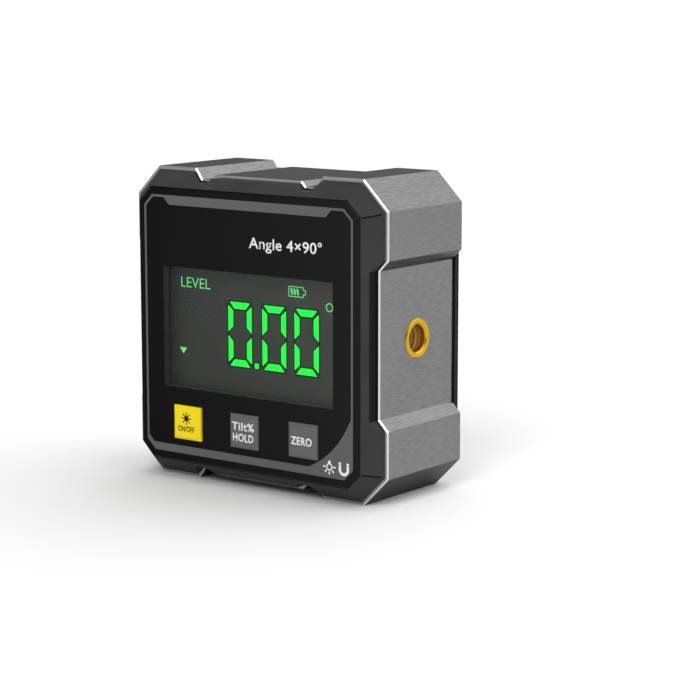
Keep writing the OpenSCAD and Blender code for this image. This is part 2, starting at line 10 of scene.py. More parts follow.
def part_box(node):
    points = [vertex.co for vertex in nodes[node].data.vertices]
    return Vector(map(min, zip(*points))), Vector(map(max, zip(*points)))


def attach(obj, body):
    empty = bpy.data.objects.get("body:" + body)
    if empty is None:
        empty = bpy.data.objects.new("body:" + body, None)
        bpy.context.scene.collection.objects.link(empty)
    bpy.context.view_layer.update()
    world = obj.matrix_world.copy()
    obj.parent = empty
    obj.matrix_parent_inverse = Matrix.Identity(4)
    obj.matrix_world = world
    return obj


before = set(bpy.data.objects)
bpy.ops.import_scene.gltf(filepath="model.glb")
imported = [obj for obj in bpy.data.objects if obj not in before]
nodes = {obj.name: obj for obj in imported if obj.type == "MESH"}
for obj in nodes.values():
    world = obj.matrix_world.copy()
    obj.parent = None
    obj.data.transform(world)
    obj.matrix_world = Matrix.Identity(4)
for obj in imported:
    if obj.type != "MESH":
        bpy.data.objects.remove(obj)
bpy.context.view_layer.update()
MM = 0.001

# Camera, from the fitted view of the frame's outline
CAMERA_AZIMUTH = 36.970
CAMERA_ELEVATION = 9.515
CAMERA_DISTANCE = 409.964 * MM
CAMERA_TARGET = Vector((21.4128, -10.5, 28.6975)) * MM
CAMERA_LENS = 115.791
SENSOR_WIDTH = 36

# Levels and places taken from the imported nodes
PANEL_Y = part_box("front_panel")[0].y
GLASS_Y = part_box("lcd_glass")[0].y
KEY_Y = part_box("power_button")[0].y
FRAME_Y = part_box("frame")[0].y
MID_Z = (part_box("frame")[0].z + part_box("frame")[1].z) / 2

# Thickness of a print, height of thin trim over its wall, and distance at which corners merge
PRINT_T = 0.02 * MM
LIFT = 0.01 * MM
MERGE = 1e-7

# Turns a shape from the X-Y plane to stand in the X-Z plane and face the front
STAND = Matrix.Rotation(math.radians(90), 4, "X")


def add_object(name, data):
    """A new object in the scene."""
    made = bpy.data.objects.new(name, data)
    bpy.context.scene.collection.objects.link(made)
    return made


def make_camera():
    """Camera at the fitted place, looking at the target."""
    azimuth, elevation = math.radians(CAMERA_AZIMUTH), math.radians(CAMERA_ELEVATION)
    back = Vector((
        math.sin(azimuth) * math.cos(elevation),
        -math.cos(azimuth) * math.cos(elevation),
        math.sin(elevation)))
    data = bpy.data.cameras.new("camera")
    data.lens = CAMERA_LENS
    data.sensor_width = SENSOR_WIDTH
    data.clip_start, data.clip_end = 0.01, 100
    camera = add_object("camera", data)
    camera.location = CAMERA_TARGET + back * CAMERA_DISTANCE
    camera.rotation_euler = (-back).to_track_quat("-Z", "Y").to_euler()
    bpy.context.scene.camera = camera


make_camera()


class Val:
    """A number socket with the arithmetic that the materials use."""

    def __init__(self, shader, socket):
        self.shader, self.socket = shader, socket

    def math(self, operation, *others):
        sockets = dict(enumerate((self, *others)))
        return self.shader.out(self.shader.node("ShaderNodeMath", {"operation": operation}, sockets))

    def __add__(self, other):
        return self.math("ADD", other)

    def __mul__(self, other):
        return self.math("MULTIPLY", other)

    def __sub__(self, other):
        return self.math("SUBTRACT", other)

    def __rsub__(self, other):
        return (self * -1.0) + other

    def __gt__(self, other):
        return self.math("GREATER_THAN", other)

    def __lt__(self, other):
        return self.math("LESS_THAN", other)

    __radd__ = __add__
    __rmul__ = __mul__

    def clamp(self):
        return self.math("MAXIMUM", 0.0).math("MINIMUM", 1.0)

    def abs(self):
        return self.math("ABSOLUTE")

    def step(self, low, high):
        """0 below low, 1 above high and smooth between them."""
        node = self.shader.node(
            "ShaderNodeMapRange", {"interpolation_type": "SMOOTHSTEP"},
            {"Value": self, "From Min": low, "From Max": high})
        return self.shader.out(node)


class Shader:
    """One material, or the world, and the nodes that it is made of."""

    # places of the colour sockets on a Mix node
    MIX_FIRST, MIX_SECOND, MIX_RESULT = 6, 7, 2

    def __init__(self, name, owner=None, end="ShaderNodeOutputMaterial"):
        self.material = owner or bpy.data.materials.new(name)
        self.material.use_nodes = True
        self.tree = self.material.node_tree
        self.tree.nodes.clear()
        self.end = self.tree.nodes.new(end)

    def node(self, kind, settings=None, sockets=None):
        """A node of one kind, with its settings and the values or links of its sockets."""
        made = self.tree.nodes.new(kind)
        for key, value in (settings or {}).items():
            setattr(made, key, value)
        for key, value in (sockets or {}).items():
            if isinstance(value, Val):
                self.tree.links.new(value.socket, made.inputs[key])
            elif isinstance(value, bpy.types.NodeSocket):
                self.tree.links.new(value, made.inputs[key])
            else:
                made.inputs[key].default_value = value
        return made

    def out(self, node, key=0):
        return Val(self, node.outputs[key])

    def place(self, scale=(1, 1, 1)):
        """Object coordinates, stretched for a pattern."""
        coordinate = self.node("ShaderNodeTexCoord")
        mapping = self.node(
            "ShaderNodeMapping", {}, {"Vector": coordinate.outputs["Object"], "Scale": scale})
        return mapping.outputs["Vector"]

    def axes(self, kind="Object"):
        """The three coordinates of a place as numbers."""
        coordinate = self.node("ShaderNodeTexCoord")
        split = self.node("ShaderNodeSeparateXYZ", {}, {"Vector": coordinate.outputs[kind]})
        return [self.out(split, i) for i in range(3)]

    def noise(self, scale, detail=2.0, stretch=(1, 1, 1)):
        sockets = {"Vector": self.place(stretch), "Scale": scale, "Detail": detail, "Roughness": 0.5}
        return self.out(self.node("ShaderNodeTexNoise", {}, sockets))

    def mix(self, factor, first, second):
        """Colour from first to second as factor goes from 0 to 1."""
        sockets = {"Factor": factor}
        for key, value in ((self.MIX_FIRST, first), (self.MIX_SECOND, second)):
            sockets[key] = value if isinstance(value, bpy.types.NodeSocket) else (*value, 1.0)
        return self.node("ShaderNodeMix", {"data_type": "RGBA"}, sockets).outputs[self.MIX_RESULT]

    def bump(self, height, strength, distance):
        sockets = {"Height": height, "Strength": strength, "Distance": distance}
        return self.node("ShaderNodeBump", {}, sockets).outputs["Normal"]

    def close(self, node):
        """Links the last shader node to the output."""
        self.tree.links.new(node.outputs[0], self.end.inputs["Surface"])
        return self.material

    def surface(self, **sockets):
        """A Principled surface, with the spaces in its sockets' names written as underscores."""
        named = {key.replace("_", " "): value for key, value in sockets.items()}
        return self.close(self.node("ShaderNodeBsdfPrincipled", {}, named))


def srgb(*values):
    """Linear colour from 0-255 display values."""
    shares = [value / 255 for value in values]
    return tuple(
        share / 12.92 if share <= 0.04045 else ((share + 0.055) / 1.055) ** 2.4 for share in shares)


def brushed_aluminium():
    """Anodised sides with fine streaks along the depth, and a bright-cut front edge."""
    edge_depth, face_depth = 0.26 * MM, 0.005 * MM
    s = Shader("brushed_aluminium")
    _, y, _ = s.axes()
    streak = s.noise(6200, detail=1.5, stretch=(1, 0.07, 1))
    cloud = s.noise(60)
    tone = (streak * 0.8 + cloud * 0.2).step(0.36, 0.64)
    brushed = s.mix(tone, (0.196, 0.197, 0.200), (0.250, 0.251, 0.254))
    edge = y < FRAME_Y + edge_depth
    face = y < FRAME_Y + face_depth
    bright = s.mix(face, (0.74, 0.74, 0.75), (0.28, 0.28, 0.285))
    return s.surface(
        Base_Color=s.mix(edge, brushed, bright), Metallic=1.0, Roughness=(streak * 0.08) + 0.21,
        Specular_Tint=(0.36, 0.36, 0.36, 1.0), Normal=s.bump(streak, 0.03, 0.01 * MM))


def moulded(name, colour, rough, grain=2600, depth=0.01 * MM, vary=0.15, level=0.5):
    """Plastic with a fine moulded grain and a slight change of tone."""
    s = Shader(name)
    tone = s.noise(90)
    skin = s.noise(grain)
    dark = tuple(c * (1 - vary) for c in colour)
    light = tuple(min(1.0, c * (1 + vary)) for c in colour)
    return s.surface(
        Base_Color=s.mix(tone.step(0.3, 0.7), dark, light),
        Roughness=(skin * 0.12) + (tone * 0.06) + (rough - 0.09),
        Specular_IOR_Level=level, Normal=s.bump(skin, 0.25, depth))


def glossy_panel():
    """Black panel with a painted sheen that makes it a little lighter towards one side."""
    s = Shader("glossy_panel")
    x, _, _ = s.axes()
    smear = s.noise(45, detail=3.0)
    # painted sheen: the colour grows lighter towards the right
    across = (x * 16.0) + (smear * 0.2) + 0.4
    colour = s.mix(across.clamp(), (0.0008, 0.0008, 0.0009), (0.0115, 0.0115, 0.0118))
    return s.surface(
        Base_Color=colour, Roughness=(smear * 0.06) + 0.09, Specular_IOR_Level=0.055)


def turned_brass():
    """Turned rim and thread start, and a duller bore behind them."""
    bore_radius, start_depth = 2.6 * MM, 1.3 * MM
    s = Shader("turned_brass")
    x, y, z = s.axes()
    low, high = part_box("side_insert")
    across, up = y - (low.y + high.y) / 2, z - (low.z + high.z) / 2
    ring = s.noise(900, stretch=(1, 0.3, 0.3))
    deep = ((across * across + up * up) < bore_radius ** 2) * (x < high.x - start_depth)
    rim = s.mix(ring, (0.57, 0.335, 0.010), (0.66, 0.40, 0.018))
    bore = s.mix(ring, (0.70, 0.52, 0.22), (0.80, 0.60, 0.28))
    return s.surface(
        Base_Color=s.mix(deep, rim, bore), Metallic=1.0,
        Roughness=(ring * 0.1) + (deep * 0.2) + 0.27)


def plated(name, dark, light, rough=0.25):
    """Plated or bare metal with a cloudy finish."""
    s = Shader(name)
    cloud = s.noise(420, detail=3.0)
    return s.surface(
        Base_Color=s.mix(cloud, dark, light), Metallic=1.0, Roughness=(cloud * 0.18) + (rough - 0.08),
        Normal=s.bump(cloud, 0.1, 0.01 * MM))


def clear_lens():
    """Clear window: what is behind shows, with a faint sheen on the face."""
    s = Shader("clear_lens")
    smear = s.noise(60)
    gloss = s.node("ShaderNodeBsdfGlossy", {}, {"Color": (0.8, 0.8, 0.8, 1.0), "Roughness": 0.06})
    clear = s.node("ShaderNodeBsdfTransparent", {}, {"Color": (0.93, 0.94, 0.93, 1.0)})
    fresnel = s.out(s.node("ShaderNodeFresnel", {}, {"IOR": 1.18}))
    outside = 1.0 - s.out(s.node("ShaderNodeNewGeometry"), "Backfacing")
    share = ((fresnel * 0.9) + (smear * 0.004)) * outside
    return s.close(s.node("ShaderNodeMixShader", {}, {0: share, 1: clear.outputs[0], 2: gloss.outputs[0]}))


def display_face_painted_shade_and_glow():
    """Dark display glass with painted shade, darker towards the left and the bottom, and a faint glow that
    is partly its backlight and partly painted light.
    """
    s = Shader("display_face_painted_shade_and_glow")
    x, _, z = s.axes()
    grain = s.noise(1500)
    # painted shade: darker towards the left and the bottom
    across = (x * 14.0) + (z * 2.0) + (grain * 0.03) + 0.435
    colour = s.mix(across.clamp(), srgb(37, 42, 38), srgb(65, 67, 64))
    # the glow is partly the backlight and partly painted light that lifts the recessed glass
    return s.surface(
        Base_Color=colour, Roughness=(grain * 0.1) + 0.3, Specular_IOR_Level=0.15,
        Emission_Color=colour, Emission_Strength=0.35)


def glowing(name, colour, strength, dimmed=0.9):
    """Lit display sign whose light dims a little in a fine grain."""
    s = Shader(name)
    grain = s.noise(2400)
    lit = s.mix(grain, tuple(c * dimmed for c in colour), colour)
    return s.surface(
        Base_Color=lit, Roughness=(grain * 0.1) + 0.4, Specular_IOR_Level=0.1,
        Emission_Color=lit, Emission_Strength=strength)


def ink(name, colour, level=0.25):
    """Print with a fine speckle."""
    s = Shader(name)
    speck = s.noise(3000)
    return s.surface(
        Base_Color=s.mix(speck, tuple(c * 0.9 for c in colour), colour), Roughness=(speck * 0.1) + 0.4,
        Specular_IOR_Level=level)


def cell_wrap():
    """Printed cell wrap: a dark sleeve with two pale bands and bare steel ends."""
    band_place, band_half, sleeve_half = 12.5 * MM, 2.2 * MM, 21.3 * MM
    s = Shader("cell_wrap")
    _, _, z = s.axes()
    speck = s.noise(800)
    from_middle = (z - MID_Z).abs()
    band = (from_middle - band_place).abs() < band_half
    bare = from_middle > sleeve_half
    sleeve = s.mix(speck, (0.012, 0.07, 0.055), (0.018, 0.09, 0.07))
    printed = s.mix(band, sleeve, (0.75, 0.72, 0.62))
    return s.surface(
        Base_Color=s.mix(bare, printed, (0.55, 0.55, 0.56)), Metallic=bare,
        Roughness=(speck * 0.1) + 0.28)


def solder_mask():
    """Green board lacquer over a faint weave."""
    s = Shader("solder_mask")
    weave = s.noise(500, stretch=(1, 1, 3))
    return s.surface(
        Base_Color=s.mix(weave, (0.008, 0.07, 0.025), (0.015, 0.11, 0.04)),
        Roughness=(weave * 0.15) + 0.25)


ALUMINIUM = brushed_aluminium()
BRASS = turned_brass()
MAGNET = plated("magnet_plating", (0.50, 0.50, 0.52), (0.62, 0.62, 0.64))
BEZEL = moulded("bezel_satin", (0.047, 0.047, 0.0475), 0.5, vary=0.08, level=0.02)
PANEL = glossy_panel()
LENS = clear_lens()
DISPLAY = display_face_painted_shade_and_glow()
YELLOW = moulded("yellow_key", srgb(255, 224, 8), 0.42, vary=0.03, level=0.22)
GREY = moulded("grey_key", srgb(96, 96, 97), 0.45, vary=0.06, level=0.35)
COVER = moulded("cover_grain", (0.010, 0.010, 0.0105), 0.55, grain=1300, depth=0.04 * MM, level=0.1)
DOOR = moulded("door_grain", (0.014, 0.014, 0.0145), 0.55, grain=1300, depth=0.04 * MM, level=0.12)
WHITE_PLASTIC = moulded("white_plastic", (0.72, 0.72, 0.70), 0.45, vary=0.05)
LIGHT_GUIDE = moulded("light_guide", (0.70, 0.76, 0.72), 0.35, vary=0.05)
ELASTOMER = moulded("elastomer", (0.55, 0.28, 0.28), 0.7)
CHIP = moulded("chip_mould", (0.018, 0.018, 0.018), 0.55)
BOARD = solder_mask()
STEEL = plated("screw_zinc", (0.30, 0.30, 0.31), (0.42, 0.42, 0.44), 0.3)
CONTACT = plated("contact_nickel", (0.52, 0.51, 0.48), (0.64, 0.63, 0.60), 0.22)
CELL = cell_wrap()
PRINT_GREY = ink("panel_print", srgb(96, 96, 97))
PRINT_WHITE = ink("white_print", srgb(250, 250, 250))
# black print, also used for the painted shade in the bezel's creases and side recesses
BLACK_PRINT_AND_PAINTED_SHADE = ink("black_print_and_painted_shade", (0.006, 0.006, 0.006), 0.05)
# grey of the display's surround, lightened as painted light where the sides of the opening shade it
MASK_PAINTED_LIGHT = ink("display_mask_painted_light", (0.055, 0.055, 0.055), 0.1)
LIT_GREEN = glowing("lit_green", srgb(30, 252, 68), 0.75)
LIT_PALE = glowing("lit_pale_green", srgb(104, 226, 130), 0.5)

FINISHES = {
    "frame": ALUMINIUM, "side_insert": BRASS, "front_bezel": BEZEL, "front_panel": PANEL,
    "display_window": LENS, "lcd_glass": DISPLAY, "lcd_backlight": LIGHT_GUIDE, "lcd_strip": ELASTOMER,
    "display_holder": WHITE_PLASTIC, "power_button": YELLOW, "hold_button": GREY, "zero_button": GREY,
    "main_board": BOARD, "processor": CHIP, "tilt_sensor": CHIP, "board_screws": STEEL,
    "rear_cover": COVER, "rear_screws": STEEL, "battery_door": DOOR,
    "battery_cell_1": CELL, "battery_cell_2": CELL,
    "contact_negative": CONTACT, "contact_positive": CONTACT, "contact_bridge": CONTACT,
}
FINISHES.update({f"base_magnet_{i}": MAGNET for i in range(1, 5)})
FINISHES.update({f"{key}_plunger": WHITE_PLASTIC for key in ("power", "hold", "zero")})
FINISHES.update({f"{key}_switch": CHIP for key in ("power", "hold", "zero")})
for name, finish in FINISHES.items():
    mesh = nodes[name].data
    mesh.materials.clear()
    mesh.materials.append(finish)


def mesh_object(name, bm, material):
    """A finished mesh in the scene."""
    mesh = bpy.data.meshes.new(name)
    bm.to_mesh(mesh)
    bm.free()
    mesh.materials.append(material)
    return add_object(name, mesh)


def piece(name, bm, material, body):
    """A finished mesh that rides on a body and takes a slot."""
    made = mesh_object(name, bm, material)
    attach(made, body)


def rectangle(left, low, right, high):
    """Corners of a rectangle, from the upper left, clockwise."""
    return [(left, high), (right, high), (right, low), (left, low)]


def flat_corners(bm, outline):
    """Vertices in the X-Z plane at corners in millimetres."""
    return [bm.verts.new((x * MM, 0.0, z * MM)) for x, z in outline]


def flat(bm, outline):
    """One face in the X-Z plane from corners in millimetres."""
    return bm.faces.new(flat_corners(bm, outline))


def closed_loop(bm, corners):
    """Edges from corner to corner and back to the first."""
    return [bm.edges.new(pair) for pair in zip(corners, corners[1:] + corners[:1])]


def strip(bm, outer, inner):
    """A band between two closed outlines of equal length."""
    outer_edges = closed_loop(bm, flat_corners(bm, outer))
    inner_edges = closed_loop(bm, flat_corners(bm, inner))
    bmesh.ops.bridge_loops(bm, edges=outer_edges + inner_edges)


def extrude(bm, faces, vec):
    """Gives flat faces a thickness along vec."""
    made = bmesh.ops.extrude_face_region(bm, geom=list(faces), use_keep_orig=True)
    moved = [v for v in made["geom"] if isinstance(v, bmesh.types.BMVert)]
    bmesh.ops.translate(bm, verts=moved, vec=vec)
    bmesh.ops.recalc_face_normals(bm, faces=bm.faces)


def thicken(bm, y, depth=PRINT_T):
    """Turns the flat faces into solids that stand on y and reach forward by depth."""
    bmesh.ops.remove_doubles(bm, verts=bm.verts, dist=MERGE)
    bmesh.ops.translate(bm, verts=bm.verts, vec=(0, y, 0))
    extrude(bm, bm.faces, (0, -depth, 0))
    return bm


def spin_edge(bm, x, z, radii, angle, steps):
    """A flat ring, or part of one, spun about x, z from an edge between two radii on its right."""
    corners = flat_corners(bm, [(x + radius, z) for radius in radii])
    edge = bm.edges.new(corners)
    bmesh.ops.spin(
        bm, geom=[*corners, edge], cent=(x * MM, 0, z * MM), axis=(0, 1, 0), dvec=(0, 0, 0),
        angle=angle, steps=steps, use_merge=(angle == math.tau), use_duplicate=False)


def ring(bm, x, z, radius, width):
    """A flat ring."""
    spin_edge(bm, x, z, (radius, radius - width), angle=math.tau, steps=40)


def disc(bm, x, z, radius):
    """A flat disc."""
    bmesh.ops.create_circle(
        bm, cap_ends=True, radius=radius * MM, segments=32,
        matrix=Matrix.Translation((x * MM, 0, z * MM)) @ STAND)


def rays(bm, x, z, angles, start, length, width):
    """Flat bars that run out from start round x, z at some angles in degrees."""
    for angle in angles:
        bar = flat(bm, rectangle(start, -width / 2, start + length, width / 2))
        turn = Matrix.Rotation(-math.radians(angle), 3, "Y")
        bmesh.ops.rotate(bm, verts=bar.verts, cent=(0, 0, 0), matrix=turn)
        bmesh.ops.translate(bm, verts=bar.verts, vec=(x * MM, 0, z * MM))


def lettering(text, size, x, z, wide=1.0, thick=0.0):
    """A word of flat faces centred on x, z: size is its height, wide a stretch, thick an added stroke."""
    # letters move apart as their strokes grow
    stroke_room = 3.2
    curve = bpy.data.curves.new("word", "FONT")
    curve.body = text
    curve.align_x, curve.align_y = "CENTER", "CENTER"
    curve.fill_mode = "BOTH"
    curve.offset = thick
    curve.space_character = 1.0 + stroke_room * max(thick, 0.0)
    curve.resolution_u = 6
    word = add_object("word", curve)
    mesh = bpy.data.meshes.new_from_object(word.evaluated_get(bpy.context.evaluated_depsgraph_get()))
    bm = bmesh.new()
    bm.from_mesh(mesh)
    bpy.data.objects.remove(word)
    bpy.data.curves.remove(curve)
    bpy.data.meshes.remove(mesh)
    low = Vector([min(v.co[i] for v in bm.verts) for i in range(2)])
    high = Vector([max(v.co[i] for v in bm.verts) for i in range(2)])
    factor = size * MM / (high.y - low.y)
    bmesh.ops.translate(bm, verts=bm.verts, vec=(-(low + high) / 2).to_3d())
    bmesh.ops.scale(bm, verts=bm.verts, vec=(factor * wide, factor, 1))
    bmesh.ops.rotate(bm, verts=bm.verts, cent=(0, 0, 0), matrix=STAND.to_3x3())
    bmesh.ops.translate(bm, verts=bm.verts, vec=(x * MM, 0, z * MM))
    return bm


def join(*parts):
    """Several bmeshes as one."""
    whole = bmesh.new()
    for part in parts:
        mesh = bpy.data.meshes.new("join")
        part.to_mesh(mesh)
        part.free()
        whole.from_mesh(mesh)
        bpy.data.meshes.remove(mesh)
    return whole


# Printed frame on the panel, in millimetres: outer outline, line and thicker foot
HALF = 24.93
LOW, HIGH = 5.30, 54.90
CUT = 2.0
LINE = 0.45
FOOT = 1.5
FOOT_LEG = 0.6

# Thick bar under the top line, and the arc at the edge of the filled lower right corner
TOP_BAR_HALF, TOP_BAR_LOW_HALF, TOP_BAR_LOW = 20.05, 18.7, 53.1
ARC_CENTRE = Vector((7.18, 23.92))
ARC_RADIUS = 18.7
ARC_FROM, ARC_TO = Vector((24.3, 16.5)), Vector((14.5, 6.7))
ARC_STEPS = 28


def cut_rectangle(half, low, high, low_cut, high_cut):
    """Corners of a rectangle about x 0 with cut corners, from the upper left, clockwise."""
    return [
        (-half + high_cut, high), (half - high_cut, high), (half, high - high_cut), (half, low + low_cut),
        (half - low_cut, low), (-half + low_cut, low), (-half, low + low_cut), (-half, high - high_cut)]


def arc(centre, radius, start, stop, steps):
    """Points on a circle, from the direction of one point to that of another."""
    first, last = (math.atan2(p.y - centre.y, p.x - centre.x) for p in (start, stop))
    angles = [first + (last - first) * i / steps for i in range(steps + 1)]
    return [(centre.x + radius * math.cos(a), centre.y + radius * math.sin(a)) for a in angles]


def panel_print():
    """Printed frame line with its foot, top bar and filled corner."""
    bm = bmesh.new()
    mitre = LINE * math.tan(math.pi / 8)
    right, foot = HALF - LINE, LOW + FOOT
    outer = cut_rectangle(HALF, LOW, HIGH, CUT, CUT)
    inner = cut_rectangle(
        right, foot, HIGH - LINE, CUT + mitre + FOOT_LEG - FOOT, CUT + mitre - LINE)
    strip(bm, outer, inner)
    flat(bm, [
        (-TOP_BAR_HALF, HIGH - LINE), (TOP_BAR_HALF, HIGH - LINE),
        (TOP_BAR_LOW_HALF, TOP_BAR_LOW), (-TOP_BAR_LOW_HALF, TOP_BAR_LOW)])
    first, *bend, last = arc(ARC_CENTRE, ARC_RADIUS, ARC_FROM, ARC_TO, ARC_STEPS)
    corner_high, corner_low = inner[3:5]
    flat(bm, [(right, first[1]), *bend, (last[0], foot), corner_low, corner_high])
    return thicken(bm, PANEL_Y)


piece("panel_print", panel_print(), PRINT_GREY, "case")


# Middles of the signs and of the word on the panel
LAMP_AT = (19.57, 7.38)
MAGNET_AT = (22.89, 7.22)
RANGE_AT = (9.4, 47.0)


def lamp_sign(x, z):
    """Lamp pictogram: a round bulb under its base, with rays below."""
    base_half, base_low, base_high = 0.3, 0.66, 1.12
    bm = bmesh.new()
    ring(bm, x, z, radius=0.7, width=0.24)
    flat(bm, rectangle(x - base_half, z + base_low, x + base_half, z + base_high))
    rays(bm, x, z, range(180, 361, 45), start=0.86, length=0.6, width=0.27)
    return thicken(bm, PANEL_Y - PRINT_T)


def magnet_sign(x, z):
    """Horseshoe pictogram with two separate tips."""
    outer, inner = 1.17, 0.63
    arm, tip_low, tip_high = 0.74, 0.84, 1.28
    bm = bmesh.new()
    spin_edge(bm, x, z, (outer, inner), angle=math.pi, steps=20)
    for left, right in ((x - outer, x - inner), (x + inner, x + outer)):
        flat(bm, rectangle(left, z, right, z + arm))
        flat(bm, rectangle(left, z + tip_low, right, z + tip_high))
    return thicken(bm, PANEL_Y - PRINT_T)


def range_print():
    """Measuring range on the upper right of the panel."""
    return thicken(lettering("Angle 4×90°", 2.85, *RANGE_AT, wide=1.13, thick=0.012), PANEL_Y)


piece("lamp_sign", lamp_sign(*LAMP_AT), PRINT_WHITE, "case")
piece("magnet_sign", magnet_sign(*MAGNET_AT), PRINT_WHITE, "case")
piece("range_print", range_print(), PRINT_WHITE, "case")

# Figures on the display glass, in millimetres
DIGIT_W, DIGIT_H = 5.65, 12.22
DIGIT_X = (-6.30, 1.94, 9.59)
DIGIT_Z = 23.19
POINT = rectangle(0.05, 23.2, 1.0, 24.2)
RIM = 0.24

# Bars of a figure: widths, and corners in from its sides, down from its top and up from its middle
SIDE_BAR, END_BAR = 1.16, 1.28
END_OUTER, END_INNER = 0.38, 1.48
TOP_OUTER, TOP_INNER = 0.68, 1.68
WAIST_OUTER, WAIST_INNER = 0.36, 1.45

# Cell sign: outline, line, step to its nub, and the slanted bars of its charge
CELL_LEFT, CELL_RIGHT, CELL_LOW, CELL_HIGH = 8.21, 12.25, 37.57, 39.55
CELL_LINE = 0.16
CELL_NUB = 0.5
CHARGE_IN, CHARGE_STEP, CHARGE_W, CHARGE_SLANT = 0.42, 0.7, 0.42, 0.28
CHARGE_LOW, CHARGE_HIGH = CELL_LOW + 0.42, CELL_HIGH - 0.4

# Level word, degree ring and pointer
LEVEL_AT = (-14.36, 38.2)
DEGREE_AT = (17.72, 36.31)
POINTER = [(-18.55, 25.5), (-16.74, 25.5), (-17.64, 24.3)]

# Lining of the panel's opening, whose grey is lightened as painted light: the window's lip, the lining's
# thickness and its distance from the face
WINDOW_LIP = 0.83
LINING_T = 0.01
LINING_BACK = 0.05


def grown(outline, d):
    """A convex outline moved outward by d."""
    centre = sum((Vector(p) for p in outline), Vector((0, 0))) / len(outline)
    points = [Vector(p) for p in outline]
    corners = []
    for before, point, after in zip(points[-1:] + points, points, points[1:] + points[:1]):
        sides = []
        for a, b in ((before, point), (point, after)):
            n = Vector((b.y - a.y, a.x - b.x)).normalized()
            sides.append(n if n.dot(point - centre) > 0 else -n)
        corners.append(tuple(point + d * (sides[0] + sides[1]) / (1 + sides[0].dot(sides[1]))))
    return corners


def zero_bars(x, z):
    """The six lit bars of a seven-bar nought, with mitred ends."""
    w, h, waist = DIGIT_W, DIGIT_H, DIGIT_H / 2
    end = [(END_OUTER, h), (w - END_OUTER, h), (w - END_INNER, h - END_BAR), (END_INNER, h - END_BAR)]
    left = [
        (0, h - TOP_OUTER), (SIDE_BAR, h - TOP_INNER),
        (SIDE_BAR, waist + WAIST_INNER), (0, waist + WAIST_OUTER)]
    right = [(w - px, pz) for px, pz in left]
    upper = [end, left, right]
    lower = [[(px, h - pz) for px, pz in bar] for bar in upper]
    return [[(x + px, z + pz) for px, pz in bar] for bar in upper + lower]


def display_digits(rim=0.0, depth=PRINT_T):
    """Figures and point, each bar grown by rim."""
    bm = bmesh.new()
    bars = [bar for x in DIGIT_X for bar in zero_bars(x, DIGIT_Z)]
    for bar in (*bars, POINT):
        flat(bm, grown(bar, rim) if rim else bar)
    return thicken(bm, GLASS_Y, depth)


def cell_outline(line):
    """Outline of the cell sign with its nub on the right, moved in by line."""
    left, low, right, high = CELL_LEFT + line, CELL_LOW + line, CELL_RIGHT - line, CELL_HIGH - line
    shoulder, nub_low, nub_high = right - CELL_NUB, low + CELL_NUB, high - CELL_NUB
    return [
        (left, high), (shoulder, high), (shoulder, nub_high), (right, nub_high),
        (right, nub_low), (shoulder, nub_low), (shoulder, low), (left, low)]


def display_signs():
    """Level word, cell sign, degree ring and pointer."""
    word = lettering("LEVEL", 1.95, *LEVEL_AT, wide=1.02, thick=-0.004)
    bm = bmesh.new()
    strip(bm, cell_outline(0), cell_outline(CELL_LINE))
    for i in range(3):
        left = CELL_LEFT + CHARGE_IN + i * CHARGE_STEP
        foot = left + CHARGE_SLANT
        flat(bm, [
            (left, CHARGE_HIGH), (left + CHARGE_W, CHARGE_HIGH),
            (foot + CHARGE_W, CHARGE_LOW), (foot, CHARGE_LOW)])
    ring(bm, *DEGREE_AT, radius=0.83, width=0.2)
    flat(bm, POINTER)
    return thicken(join(word, bm), GLASS_Y)


def window_band(outer, inner, y, depth, sides):
    """Bands between two outlines of four corners, along the sides given by pairs of corners."""
    bm = bmesh.new()
    for a, b in sides:
        flat(bm, [outer[a], outer[b], inner[b], inner[a]])
    return thicken(bm, y, depth)


def window_lining():
    """Dark grey surround at the sides of the display, lightened as painted light for the shaded sides of
    the opening, and a sill under it in the display's finish with its painted shade and glow, both behind
    the window.
    """
    glass_low, glass_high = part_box("lcd_glass")
    lens_low, lens_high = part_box("display_window")
    wall_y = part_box("front_panel")[1].y
    wall = wall_y - PANEL_Y - LINING_BACK * MM
    left, low = lens_low.x / MM + WINDOW_LIP, lens_low.z / MM + WINDOW_LIP
    right, high = lens_high.x / MM - WINDOW_LIP, lens_high.z / MM - WINDOW_LIP
    opening = rectangle(left, low, right, high)
    lined = grown(opening, -LINING_T)
    glass = rectangle(glass_low.x / MM, low, glass_high.x / MM, high)
    left_right, below = ((3, 0), (1, 2)), ((2, 3),)
    sides = join(
        window_band(opening, glass, GLASS_Y, PRINT_T, left_right),
        window_band(opening, lined, wall_y, wall, left_right))
    sill = window_band(opening, lined, wall_y, wall, below)
    # the surround's grey and the sill's glow are painted light
    piece("display_mask_painted_light", sides, MASK_PAINTED_LIGHT, "case")
    piece("display_sill_painted_light", sill, DISPLAY, "case")


window_lining()
piece("display_rims", display_digits(RIM, PRINT_T / 2), BLACK_PRINT_AND_PAINTED_SHADE, "case")
piece("display_digits", display_digits(), LIT_GREEN, "case")
piece("display_signs", display_signs(), LIT_PALE, "case")


# Key legends
def key_centre(key):
    """Middle of a key's front, in millimetres."""
    low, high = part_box(f"{key}_button")
    return (low.x + high.x) / 2 / MM, (low.z + high.z) / 2 / MM


def sun_sign(x, z):
    """Sun pictogram: a disc with eight rays."""
    bm = bmesh.new()
    disc(bm, x, z, radius=0.52)
    rays(bm, x, z, range(0, 360, 45), start=0.54, length=0.66, width=0.2)
    return bm


def legend(key, parts, material):
    """Print on the front of a key, which moves with it."""
    piece(f"{key}_legend", thicken(join(*parts), KEY_Y), material, f"{key}_key")


